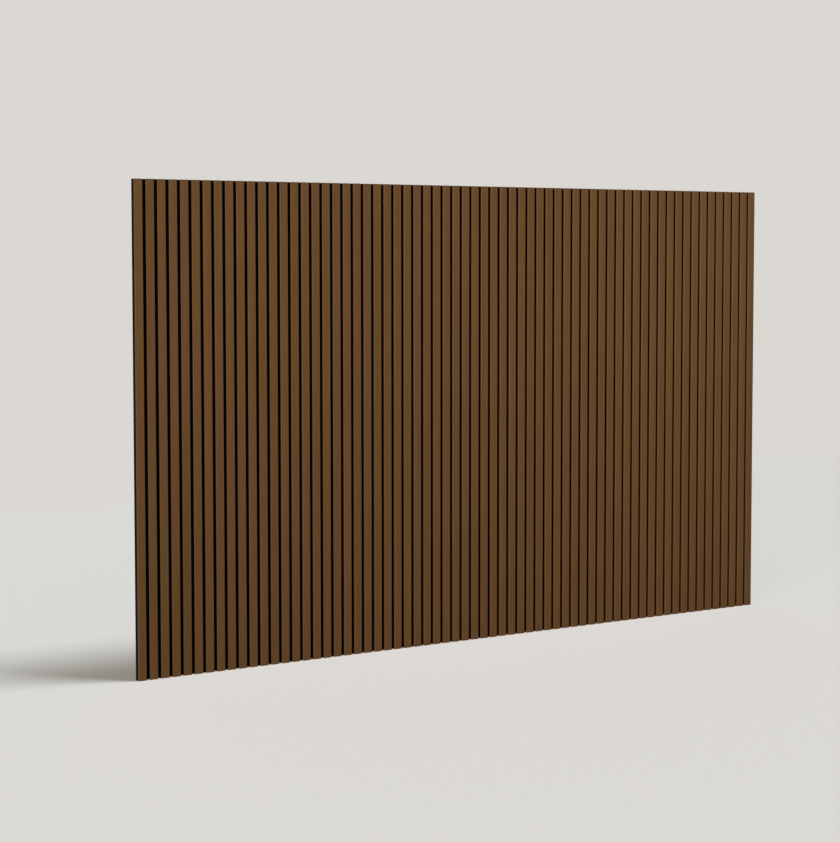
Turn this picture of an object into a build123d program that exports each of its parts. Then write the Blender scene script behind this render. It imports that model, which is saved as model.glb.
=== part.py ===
from build123d import *
import os

# A slat panel for sound absorption: upright wooden slats on one sheet of black felt.
# X runs along the panel, Y runs back to the wall and Z is up, all in millimetres.
# The origin is the middle of the felt's back face, the face that goes against the wall.

# The slats
SLAT_COUNT = 65
SLAT_WIDTH = 27.0  # across the face of one slat
SLAT_DEPTH = 13.0  # how far a slat stands out from the felt
ARRIS_RADIUS = 0.8  # the veneer turns this corner from the face to each side

# The felt
GAP_WIDTH = 13.0  # bare felt between two slats, half of it at each end of the panel
FELT_DEPTH = 9.0

# Slats and felt are sawn to this height together
PANEL_HEIGHT = 1750.0

# The first slats have a file each, and the last few share one
SLATS_WITH_OWN_FILE = 58

SLAT_PITCH = SLAT_WIDTH + GAP_WIDTH
PANEL_WIDTH = SLAT_COUNT * SLAT_PITCH
BOTTOM = -PANEL_HEIGHT / 2


def felt_backing():
    """The sheet of pressed felt that carries every slat and shows in the gaps."""
    section = Rectangle(PANEL_WIDTH, FELT_DEPTH, align=(Align.CENTER, Align.MAX))
    return Pos(0, 0, BOTTOM) * extrude(section, PANEL_HEIGHT)


def slat_section():
    """A slat cut across: square at the felt, with its two front corners eased."""
    outline = Rectangle(SLAT_WIDTH, SLAT_DEPTH, align=(Align.CENTER, Align.MAX))
    front_corners = outline.vertices().group_by(Axis.Y)[0]
    return fillet(front_corners, ARRIS_RADIUS)


def slat(number):
    """One slat, glued by its back to the felt. Number 1 is at the left from the front."""
    places_from_middle = number - (SLAT_COUNT + 1) / 2
    foot = Pos(places_from_middle * SLAT_PITCH, -FELT_DEPTH, BOTTOM)
    return foot * extrude(slat_section(), PANEL_HEIGHT)


os.makedirs("parts", exist_ok=True)

export_step(felt_backing(), "parts/felt_backing.step")

for number in range(1, SLATS_WITH_OWN_FILE + 1):
    export_step(slat(number), f"parts/slat_{number:02d}.step")

last_numbers = range(SLATS_WITH_OWN_FILE + 1, SLAT_COUNT + 1)
last_slats = Compound(children=[slat(number) for number in last_numbers])
export_step(last_slats, f"parts/slats_{last_numbers[0]}_to_{last_numbers[-1]}.step")
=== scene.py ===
import math
import random

import bmesh
import bpy
from mathutils import Matrix, Vector


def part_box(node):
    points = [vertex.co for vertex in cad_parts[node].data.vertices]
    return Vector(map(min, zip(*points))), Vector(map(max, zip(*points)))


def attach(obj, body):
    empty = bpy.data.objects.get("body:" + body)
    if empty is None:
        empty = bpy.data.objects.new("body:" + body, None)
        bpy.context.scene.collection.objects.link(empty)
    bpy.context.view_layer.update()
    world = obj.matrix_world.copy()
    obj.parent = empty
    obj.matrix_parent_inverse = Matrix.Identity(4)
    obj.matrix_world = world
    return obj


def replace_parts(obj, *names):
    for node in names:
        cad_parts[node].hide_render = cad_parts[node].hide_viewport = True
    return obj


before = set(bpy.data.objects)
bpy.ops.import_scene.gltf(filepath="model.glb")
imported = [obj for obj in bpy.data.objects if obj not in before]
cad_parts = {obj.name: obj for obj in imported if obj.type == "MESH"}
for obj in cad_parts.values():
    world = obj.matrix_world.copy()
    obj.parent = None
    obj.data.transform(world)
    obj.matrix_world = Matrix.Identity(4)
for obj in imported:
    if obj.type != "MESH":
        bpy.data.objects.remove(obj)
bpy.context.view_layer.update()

# Felt backing
# The sheet that carries every slat: polyester fibres needled and pressed to 9 mm, dyed black.
# The slats are glued and stapled to its front. At the back each staple pulls a dimple in it.

MM = 0.001
SLAT_COUNT = 65
FELT_LOW, FELT_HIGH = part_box("felt_backing")
FELT_LEFT = FELT_LOW.x
FELT_DEPTH = FELT_HIGH.y - FELT_LOW.y
PANEL_HEIGHT = FELT_HIGH.z - FELT_LOW.z
SLAT_PITCH = (FELT_HIGH.x - FELT_LOW.x) / SLAT_COUNT

STAPLE_ROWS = 7
ROW_SPACING = PANEL_HEIGHT / STAPLE_ROWS
DIMPLE_LENGTH = 20 * MM
DIMPLE_HEIGHT = 9 * MM
DIMPLE_CORNER = 3.5 * MM
DIMPLE_WALLS = [(1.6 * MM, 0.35 * MM), (1.4 * MM, 0.65 * MM)]  # width and depth of each step

FIBRE_WIDTH = 0.4 * MM  # real fibres are 0.03 mm, and are drawn in bundles so that they show
FIBRE_LENGTH = 9 * MM
FIBRE_TURNS = (24, -41, 83)  # the ways in which the needles leave the fibres, in degrees
TUFT_SIZE = 1.4 * MM
CLOUD_SIZE = 16 * MM  # needling leaves the sheet a little denser in places
FELT_BUMP = 0.3 * MM
MERGE_DISTANCE = 0.01 * MM


def linear(hex_colour):
    """An sRGB hex colour as the linear colour that a shader socket takes."""
    channels = [int(hex_colour[i:i + 2], 16) / 255 for i in (1, 3, 5)]
    return [c / 12.92 if c <= 0.04045 else ((c + 0.055) / 1.055) ** 2.4 for c in channels] + [1.0]


def add_node(tree, kind, inputs=None, **settings):
    """Adds a shader node. Each input is a value, or the output of another node."""
    node = tree.nodes.new(kind)
    for name, value in settings.items():
        setattr(node, name, value)
    for socket, value in (inputs or {}).items():
        if isinstance(value, bpy.types.NodeSocket):
            tree.links.new(value, node.inputs[socket])
        else:
            node.inputs[socket].default_value = value
    return node


def needled_felt():
    """Black polyester felt, needled from loose fibres and pressed."""
    # It is matt and nearly black, with fibres lying every way and a faint cloudiness.
    material = bpy.data.materials.new("needled polyester felt, dyed black")
    material.use_nodes = True
    tree = material.node_tree
    place = add_node(tree, "ShaderNodeTexCoord").outputs["Object"]
    fibres = add_node(tree, "ShaderNodeTexNoise", {
        "Vector": place, "Scale": 1 / TUFT_SIZE, "Detail": 4, "Roughness": 0.7,
    }).outputs["Fac"]
    for turn in FIBRE_TURNS:
        laid = add_node(tree, "ShaderNodeMapping", {
            "Vector": place,
            "Rotation": (0, math.radians(turn), 0),
            "Scale": (FIBRE_LENGTH, FIBRE_WIDTH, FIBRE_WIDTH),
        }, vector_type="TEXTURE")
        strand = add_node(tree, "ShaderNodeTexNoise", {
            "Vector": laid.outputs[0], "Scale": 1, "Detail": 2, "Distortion": 0.6,
        })
        lit = add_node(tree, "ShaderNodeMapRange", {
            "Value": strand.outputs["Fac"], "From Min": 0.52, "From Max": 0.74,
        })
        fibres = add_node(tree, "ShaderNodeMath", {
            0: fibres, 1: lit.outputs[0],
        }, operation="MAXIMUM").outputs[0]
    # Inputs 6 and 7 of a colour mix are its two colours
    fibre_tone = add_node(tree, "ShaderNodeMix", {
        "Factor": fibres, 6: linear("#050506"), 7: linear("#29292c"),
    }, data_type="RGBA")
    clouds = add_node(tree, "ShaderNodeTexNoise", {
        "Vector": place, "Scale": 1 / CLOUD_SIZE, "Detail": 3,
    })
    cloudy = add_node(tree, "ShaderNodeMapRange", {
        "Value": clouds.outputs["Fac"],
        "From Min": 0.3, "From Max": 0.7, "To Min": 0.6, "To Max": 1.5,
    })
    tone = add_node(tree, "ShaderNodeVectorMath", {
        0: fibre_tone.outputs[2], 1: cloudy.outputs[0],
    }, operation="MULTIPLY")
    relief = add_node(tree, "ShaderNodeBump", {
        "Height": fibres, "Strength": 0.6, "Distance": FELT_BUMP,
    })
    shader = tree.nodes["Principled BSDF"]
    shader.inputs["Roughness"].default_value = 0.95
    shader.inputs["Specular IOR Level"].default_value = 0
    tree.links.new(tone.outputs[0], shader.inputs["Base Color"])
    tree.links.new(relief.outputs[0], shader.inputs["Normal"])
    return material


def array(bm, step, count):
    """Repeats all of bm in a straight row, count times in all."""
    everything = bm.verts[:] + bm.edges[:] + bm.faces[:]
    for number in range(1, count):
        copied = bmesh.ops.duplicate(bm, geom=everything)["geom"]
        moved = [part for part in copied if isinstance(part, bmesh.types.BMVert)]
        bmesh.ops.translate(bm, vec=step * number, verts=moved)


def finish_piece(bm, name, material):
    """Turns bm into a piece of the object that rides on its one body."""
    mesh = bpy.data.meshes.new(name)
    bm.to_mesh(mesh)
    bm.free()
    mesh.materials.append(material)
    piece = bpy.data.objects.new(name, mesh)
    bpy.context.scene.collection.objects.link(piece)
    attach(piece, "root")
    return piece


def upright_patch(bm, width, height):
    """A flat patch that faces the wall, centred on the origin. Returns its face."""
    before = set(bm.faces)
    verts = bmesh.ops.create_grid(bm, x_segments=1, y_segments=1, size=0.5)["verts"]
    bmesh.ops.rotate(bm, matrix=Matrix.Rotation(math.radians(-90), 3, "X"), verts=verts)
    bmesh.ops.scale(bm, vec=(width, 1, height), verts=verts)
    return (set(bm.faces) - before).pop()


def felt_sheet():
    """The whole sheet, flat in front, with a dimple at the back for each staple."""
    bm = bmesh.new()
    mouth = upright_patch(bm, DIMPLE_LENGTH, DIMPLE_HEIGHT)
    bmesh.ops.bevel(
        bm, geom=mouth.verts[:], offset=DIMPLE_CORNER, segments=3, profile=0.5,
        affect="VERTICES", material=-1,
    )
    mouth = bm.faces[:][0]
    walls = []
    for width, depth in DIMPLE_WALLS:
        walls += bmesh.ops.inset_individual(
            bm, faces=[mouth], thickness=width, depth=-depth, use_even_offset=True,
        )["faces"]
    field = upright_patch(bm, SLAT_PITCH, ROW_SPACING)
    bmesh.ops.delete(bm, geom=[field], context="FACES_ONLY")
    rims = [edge for edge in bm.edges if edge.is_wire or edge.is_boundary]
    bmesh.ops.triangle_fill(bm, use_beauty=True, edges=rims, normal=(0, 1, 0))
    for wall in walls:
        wall.smooth = True
    first = Vector((FELT_LEFT + SLAT_PITCH / 2, 0, FELT_LOW.z + ROW_SPACING / 2))
    bmesh.ops.translate(bm, vec=first, verts=bm.verts)
    array(bm, Vector((SLAT_PITCH, 0, 0)), SLAT_COUNT)
    array(bm, Vector((0, 0, ROW_SPACING)), STAPLE_ROWS)
    bmesh.ops.remove_doubles(bm, verts=bm.verts, dist=MERGE_DISTANCE)
    back_rim = [edge for edge in bm.edges if edge.is_boundary]
    made = bmesh.ops.extrude_edge_only(bm, edges=back_rim)["geom"]
    front_rim = [part for part in made if isinstance(part, bmesh.types.BMVert)]
    bmesh.ops.translate(bm, vec=(0, -FELT_DEPTH, 0), verts=front_rim)
    bmesh.ops.contextual_create(bm, geom=[edge for edge in bm.edges if edge.is_boundary])
    bmesh.ops.recalc_face_normals(bm, faces=bm.faces)
    return finish_piece(bm, "felt_sheet", needled_felt())


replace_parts(felt_sheet(), "felt_backing")

# Slats
# Fibreboard strips with walnut veneer wrapped round the face and both sides, matt lacquered.
# They are sawn to length after wrapping, so their ends show the board's core.

SLAT_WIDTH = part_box("slat_01")[1].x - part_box("slat_01")[0].x
SLAT_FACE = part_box("slat_01")[0].y
VENEER_THICKNESS = 0.6 * MM
PORE_WIDTH = 0.45 * MM  # real pores are 0.1 mm wide, and are drawn wider so that they show
PORE_LENGTH = 9 * MM
RING_WIDTH = 3.2 * MM  # straight-cut growth rings
RING_LENGTH = 420 * MM
FIGURE_WIDTH = 13 * MM  # slow change of tone from one part of the leaf to the next
FIGURE_LENGTH = 900 * MM
PORE_DEPTH = 0.06 * MM
CHIP_SIZE = 0.9 * MM  # the fibreboard's fibres, at its sawn ends
LEAF_SPREAD = 3  # metres: how far apart in one long pattern two slats' veneers may lie


def walnut_veneer():
    """Walnut veneer under matt lacquer, and bare fibreboard where the slat was sawn through."""
    # The eye sees an even brown with fine, straight grain, a little different on each slat.
    material = bpy.data.materials.new("matt lacquered walnut veneer on fibreboard")
    material.use_nodes = True
    tree = material.node_tree
    place = add_node(tree, "ShaderNodeTexCoord").outputs["Object"]
    axes = add_node(tree, "ShaderNodeSeparateXYZ", {0: place})

    # Each slat has its own number, and takes its own part of the veneer's pattern
    from_left = add_node(tree, "ShaderNodeMath", {
        0: axes.outputs["X"], 1: FELT_LEFT,
    }, operation="SUBTRACT")
    pitches = add_node(tree, "ShaderNodeMath", {
        0: from_left.outputs[0], 1: SLAT_PITCH,
    }, operation="DIVIDE")
    number = add_node(tree, "ShaderNodeMath", {0: pitches.outputs[0]}, operation="FLOOR")
    own = add_node(tree, "ShaderNodeTexWhiteNoise", {"W": number.outputs[0]}, noise_dimensions="1D")
    own_leaf = add_node(tree, "ShaderNodeVectorMath", {
        0: own.outputs["Color"], 1: (LEAF_SPREAD, LEAF_SPREAD, LEAF_SPREAD),
    }, operation="MULTIPLY")
    leaf = add_node(tree, "ShaderNodeVectorMath", {
        0: place, 1: own_leaf.outputs[0],
    }, operation="ADD")

    def streaks(width, length, **look):
        """Noise drawn out along the slat."""
        drawn = add_node(tree, "ShaderNodeMapping", {
            "Vector": leaf.outputs[0], "Scale": (1 / width, 1 / width, 1 / length),
        })
        noise = add_node(tree, "ShaderNodeTexNoise", {
            "Vector": drawn.outputs[0], "Scale": 1, **look,
        })
        return noise.outputs["Fac"]

    # The veneer's colour: growth rings, slow figure, each slat's own tone, and pores
    rings = streaks(RING_WIDTH, RING_LENGTH, Detail=3, Roughness=0.6, Distortion=0.3)
    ring_tone = add_node(tree, "ShaderNodeMapRange", {
        "Value": rings, "From Min": 0.3, "From Max": 0.7, "To Min": 0.9, "To Max": 1.1,
    })
    figure_tone = add_node(tree, "ShaderNodeMapRange", {
        "Value": streaks(FIGURE_WIDTH, FIGURE_LENGTH, Detail=2),
        "From Min": 0.3, "From Max": 0.7, "To Min": 0.95, "To Max": 1.05,
    })
    slat_tone = add_node(tree, "ShaderNodeMapRange", {
        "Value": own.outputs["Value"], "To Min": 0.975, "To Max": 1.025,
    })
    grain_tone = add_node(tree, "ShaderNodeMath", {
        0: ring_tone.outputs[0], 1: figure_tone.outputs[0],
    }, operation="MULTIPLY")
    tone = add_node(tree, "ShaderNodeMath", {
        0: grain_tone.outputs[0], 1: slat_tone.outputs[0],
    }, operation="MULTIPLY")
    leaf_colour = add_node(tree, "ShaderNodeVectorMath", {
        0: linear("#644628")[:3], 1: tone.outputs[0],
    }, operation="MULTIPLY")
    pores = add_node(tree, "ShaderNodeMapRange", {
        "Value": streaks(PORE_WIDTH, PORE_LENGTH, Detail=1), "From Min": 0.56, "From Max": 0.7,
    })
    pore_strength = add_node(tree, "ShaderNodeMath", {
        0: pores.outputs[0], 1: 0.35,
    }, operation="MULTIPLY")
    veneer = add_node(tree, "ShaderNodeMix", {
        "Factor": pore_strength.outputs[0], 6: leaf_colour.outputs[0], 7: linear("#3a2614"),
    }, data_type="RGBA")

    # The board inside shows where the slat was sawn through, within the veneer's thickness
    chips = add_node(tree, "ShaderNodeTexNoise", {
        "Vector": place, "Scale": 1 / CHIP_SIZE, "Detail": 4, "Roughness": 0.65,
    })
    board = add_node(tree, "ShaderNodeMix", {
        "Factor": chips.outputs["Fac"], 6: linear("#8a6a45"), 7: linear("#b3946a"),
    }, data_type="RGBA")
    inside = add_node(tree, "ShaderNodeMath", {0: pitches.outputs[0]}, operation="FRACT")
    centred = add_node(tree, "ShaderNodeMath", {0: inside.outputs[0], 1: 0.5}, operation="SUBTRACT")
    aside = add_node(tree, "ShaderNodeMath", {0: centred.outputs[0]}, operation="ABSOLUTE")
    between_sides = add_node(tree, "ShaderNodeMath", {
        0: aside.outputs[0], 1: (SLAT_WIDTH / 2 - VENEER_THICKNESS) / SLAT_PITCH,
    }, operation="LESS_THAN")
    behind_face = add_node(tree, "ShaderNodeMath", {
        0: axes.outputs["Y"], 1: SLAT_FACE + VENEER_THICKNESS,
    }, operation="GREATER_THAN")
    normal = add_node(tree, "ShaderNodeNewGeometry").outputs["True Normal"]
    facing = add_node(tree, "ShaderNodeSeparateXYZ", {0: normal})
    level = add_node(tree, "ShaderNodeMath", {0: facing.outputs["Z"]}, operation="ABSOLUTE")
    sawn = add_node(tree, "ShaderNodeMath", {0: level.outputs[0], 1: 0.5}, operation="GREATER_THAN")
    within = add_node(tree, "ShaderNodeMath", {
        0: between_sides.outputs[0], 1: behind_face.outputs[0],
    }, operation="MULTIPLY")
    core = add_node(tree, "ShaderNodeMath", {
        0: within.outputs[0], 1: sawn.outputs[0],
    }, operation="MULTIPLY")
    colour = add_node(tree, "ShaderNodeMix", {
        "Factor": core.outputs[0], 6: veneer.outputs[2], 7: board.outputs[2],
    }, data_type="RGBA")

    roughness = add_node(tree, "ShaderNodeMapRange", {
        "Value": rings, "To Min": 0.55, "To Max": 0.68,
    })
    relief = add_node(tree, "ShaderNodeBump", {
        "Height": pores.outputs[0], "Strength": 0.5, "Distance": PORE_DEPTH,
    }, invert=True)
    shader = tree.nodes["Principled BSDF"]
    shader.inputs["IOR"].default_value = 1.5
    shader.inputs["Specular IOR Level"].default_value = 0.1
    tree.links.new(colour.outputs[2], shader.inputs["Base Color"])
    tree.links.new(roughness.outputs[0], shader.inputs["Roughness"])
    tree.links.new(relief.outputs[0], shader.inputs["Normal"])
    return material


veneer = walnut_veneer()
for name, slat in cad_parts.items():
    if name.startswith("slat"):
        for slot in slat.material_slots:
            slot.material = veneer

# Staples
# Galvanised steel wire staples, shot through the felt into the back of each slat in even rows.
# Each crown is pulled down into the felt until it lies below the sheet's back.

CROWN_LENGTH = 11.2 * MM
WIRE_WIDTH = 1.25 * MM
WIRE_THICKNESS = 0.6 * MM
BEND_RADIUS = 0.5 * MM
BEND_STEPS = 3
CROWN_SUNK = 0.3 * MM  # below the back of the sheet, and just clear of the dimple's floor
LEG_LENGTH = 16 * MM
STAPLE_TURN = 4  # the most that a staple lands askew, in degrees
STAPLE_DRIFT = 0.8 * MM
STAPLE_SEED = 5
ZINC_GRAIN = 0.8 * MM


def galvanised_wire():
    """Steel wire that was drawn through a bath of zinc."""
    # It is a bright grey metal with a satin, faintly mottled surface.
    material = bpy.data.materials.new("galvanised steel wire")
    material.use_nodes = True
    tree = material.node_tree
    place = add_node(tree, "ShaderNodeTexCoord").outputs["Object"]
    zinc = add_node(tree, "ShaderNodeTexNoise", {
        "Vector": place, "Scale": 1 / ZINC_GRAIN, "Detail": 2,
    })
    colour = add_node(tree, "ShaderNodeMix", {
        "Factor": zinc.outputs["Fac"], 6: linear("#a3a6a8"), 7: linear("#c6c8c9"),
    }, data_type="RGBA")
    roughness = add_node(tree, "ShaderNodeMapRange", {
        "Value": zinc.outputs["Fac"], "To Min": 0.3, "To Max": 0.5,
    })
    shader = tree.nodes["Principled BSDF"]
    shader.inputs["Metallic"].default_value = 1
    tree.links.new(colour.outputs[2], shader.inputs["Base Color"])
    tree.links.new(roughness.outputs[0], shader.inputs["Roughness"])
    return material


def one_staple():
    """A staple at the origin, its crown along X and its legs pointing forwards into the slat."""
    bm = bmesh.new()
    half_crown = CROWN_LENGTH / 2
    bend_start = -CROWN_SUNK - WIRE_THICKNESS - BEND_RADIUS
    leg_run = bend_start + CROWN_SUNK + LEG_LENGTH
    bend_centre = half_crown - WIRE_THICKNESS - BEND_RADIUS
    tip = upright_patch(bm, WIRE_THICKNESS, WIRE_WIDTH)
    bmesh.ops.delete(bm, geom=[tip], context="FACES_ONLY")
    first_tip = (WIRE_THICKNESS / 2 - half_crown, bend_start - leg_run, 0)
    bmesh.ops.translate(bm, vec=first_tip, verts=bm.verts)

    def run(end, step):
        """Draws the wire on in a straight line and returns its new end."""
        made = bmesh.ops.extrude_edge_only(bm, edges=end)["geom"]
        new = [part for part in made if isinstance(part, bmesh.types.BMVert)]
        bmesh.ops.translate(bm, vec=step, verts=new)
        return [edge for edge in bm.edges if all(vert in new for vert in edge.verts)]

    def bend(end, centre_x):
        """Bends the wire a quarter turn and returns its new end."""
        around = [vert for edge in end for vert in edge.verts]
        made = bmesh.ops.spin(
            bm, geom=end + list(set(around)), cent=(centre_x, bend_start, 0), axis=(0, 0, 1),
            angle=math.radians(-90), steps=BEND_STEPS, use_merge=False,
        )["geom_last"]
        return [part for part in made if isinstance(part, bmesh.types.BMEdge)]

    end = run(bm.edges[:], (0, leg_run, 0))
    end = bend(end, -bend_centre)
    end = run(end, (bend_centre * 2, 0, 0))
    end = bend(end, bend_centre)
    run(end, (0, -leg_run, 0))
    bmesh.ops.holes_fill(bm, edges=bm.edges, sides=4)
    bmesh.ops.recalc_face_normals(bm, faces=bm.faces)
    return bm


def staples():
    """Every staple in the panel, as one piece."""
    bm = one_staple()
    template = bm.verts[:] + bm.edges[:] + bm.faces[:]
    chance = random.Random(STAPLE_SEED)
    for column in range(SLAT_COUNT):
        for row in range(STAPLE_ROWS):
            place = Vector((
                FELT_LEFT + SLAT_PITCH * (column + 0.5) + chance.uniform(-1, 1) * STAPLE_DRIFT,
                0,
                FELT_LOW.z + ROW_SPACING * (row + 0.5) + chance.uniform(-1, 1) * STAPLE_DRIFT,
            ))
            askew = Matrix.Rotation(math.radians(chance.uniform(-1, 1) * STAPLE_TURN), 3, "Y")
            copied = bmesh.ops.duplicate(bm, geom=template)["geom"]
            moved = [part for part in copied if isinstance(part, bmesh.types.BMVert)]
            bmesh.ops.rotate(bm, matrix=askew, verts=moved)
            bmesh.ops.translate(bm, vec=place, verts=moved)
    bmesh.ops.delete(bm, geom=template, context="VERTS")
    return finish_piece(bm, "staples", galvanised_wire())


staples()

# Floor and backdrop
# A smooth pale floor that ends a little way behind the panel, where the pale backdrop begins.
# Only the camera and reflections see it pale, so that it throws little light on the slats.

FLOOR_LEVEL = FELT_LOW.z
FLOOR_HALF_WIDTH = 45.0
FLOOR_NEAR = -45.0
FLOOR_FAR = 3.34


def is_looked_at(tree):
    """One where the camera or a reflection looks, and nought where light is gathered."""
    path = add_node(tree, "ShaderNodeLightPath").outputs
    seen = add_node(tree, "ShaderNodeMath", {
        0: path["Is Camera Ray"], 1: path["Is Glossy Ray"],
    }, operation="MAXIMUM")
    return add_node(tree, "ShaderNodeMath", {
        0: seen.outputs[0], 1: path["Is Transmission Ray"],
    }, operation="MAXIMUM").outputs[0]


def matt_floor_paint():
    """Matt paint on a smooth floor."""
    # It looks pale and even, with no gloss.
    material = bpy.data.materials.new("matt floor paint")
    material.use_nodes = True
    tree = material.node_tree
    colour = add_node(tree, "ShaderNodeMix", {
        "Factor": is_looked_at(tree), 6: linear("#6b6966"), 7: linear("#dbd9d5"),
    }, data_type="RGBA")
    shader = tree.nodes["Principled BSDF"]
    shader.inputs["Roughness"].default_value = 1
    shader.inputs["Specular IOR Level"].default_value = 0
    tree.links.new(colour.outputs[2], shader.inputs["Base Color"])
    return material


bm = bmesh.new()
bmesh.ops.create_grid(bm, x_segments=1, y_segments=1, size=0.5)
bmesh.ops.scale(bm, vec=(FLOOR_HALF_WIDTH * 2, FLOOR_FAR - FLOOR_NEAR, 1), verts=bm.verts)
bmesh.ops.translate(bm, vec=(0, (FLOOR_NEAR + FLOOR_FAR) / 2, FLOOR_LEVEL), verts=bm.verts)
floor_mesh = bpy.data.meshes.new("floor")
bm.to_mesh(floor_mesh)
bm.free()
floor_mesh.materials.append(matt_floor_paint())
floor = bpy.data.objects.new("floor", floor_mesh)
bpy.context.scene.collection.objects.link(floor)

# Light
# A high lamp at the front right throws the shadow. One at the left, level with the slats, lights
# their faces and left sides, and the floor hides more of it from lower down. The back lamp lights
# the felt's back and lifts the floor, and casts no shadow. What light is left in the shadow is warm.

AMBIENT = 0.1
COOL_WHITE = "#f7f9ff"
WHITE = "#ffffff"
WARM_WHITE = "#fffcf1"
SUNS = {
    # name: (azimuth, elevation, strength, softness in degrees, colour, casts a shadow)
    "high_right_lamp": (67, 64, 2.25, 15, COOL_WHITE, True),
    "level_left_lamp": (-58, 0.8, 4.55, 5, WHITE, True),
    "back_lamp": (180, 25, 2.08, 20, WARM_WHITE, False),
}

world = bpy.data.worlds.new("studio")
bpy.context.scene.world = world
world.use_nodes = True
sky = world.node_tree
sky.nodes.clear()
glow = add_node(sky, "ShaderNodeBackground", {"Color": linear(WARM_WHITE), "Strength": AMBIENT})
backdrop = add_node(sky, "ShaderNodeBackground", {"Color": linear("#dbd8d3"), "Strength": 1})
mixed = add_node(sky, "ShaderNodeMixShader", {
    0: is_looked_at(sky), 1: glow.outputs[0], 2: backdrop.outputs[0],
})
add_node(sky, "ShaderNodeOutputWorld", {0: mixed.outputs[0]})

for name, (azimuth, elevation, strength, softness, colour, shadow) in SUNS.items():
    lamp = bpy.data.lights.new(name, "SUN")
    lamp.energy = strength
    lamp.color = linear(colour)[:3]
    lamp.angle = math.radians(softness)
    lamp.use_shadow = shadow
    sun = bpy.data.objects.new(name, lamp)
    turn, rise = math.radians(azimuth), math.radians(elevation)
    towards = Vector((
        math.sin(turn) * math.cos(rise),
        -math.cos(turn) * math.cos(rise),
        math.sin(rise),
    ))
    sun.rotation_euler = towards.to_track_quat("Z", "Y").to_euler()
    bpy.context.scene.collection.objects.link(sun)

# Camera
# It stands in front of the panel's left end, above its middle, and looks to the right. The
# lens is shifted down and to the left, as in the photograph but less, so that views from the
# sides and the back keep the whole panel in the picture.

PICTURE_HEIGHT = 842
CAMERA_PLACE = Vector((-2.17, -4.68, 0.611))
CAMERA_TURN = 23.47  # to the right of the panel's own depth, in degrees
CAMERA_DIP = 2.4
FOCAL_PIXELS = 1341
SENSOR = 36.0
SHIFT_X = -0.024
SHIFT_Y = -0.13

eye = bpy.data.cameras.new("camera")
eye.sensor_width = SENSOR
eye.lens = FOCAL_PIXELS * SENSOR / PICTURE_HEIGHT
eye.shift_x = SHIFT_X
eye.shift_y = SHIFT_Y
camera = bpy.data.objects.new("camera", eye)
camera.location = CAMERA_PLACE
turn, dip = math.radians(CAMERA_TURN), math.radians(CAMERA_DIP)
ahead = Vector((math.sin(turn) * math.cos(dip), math.cos(turn) * math.cos(dip), -math.sin(dip)))
camera.rotation_euler = ahead.to_track_quat("-Z", "Y").to_euler()
bpy.context.scene.collection.objects.link(camera)
bpy.context.scene.camera = camera

# Colours are shown as they are written
bpy.context.scene.view_settings.view_transform = "Standard"
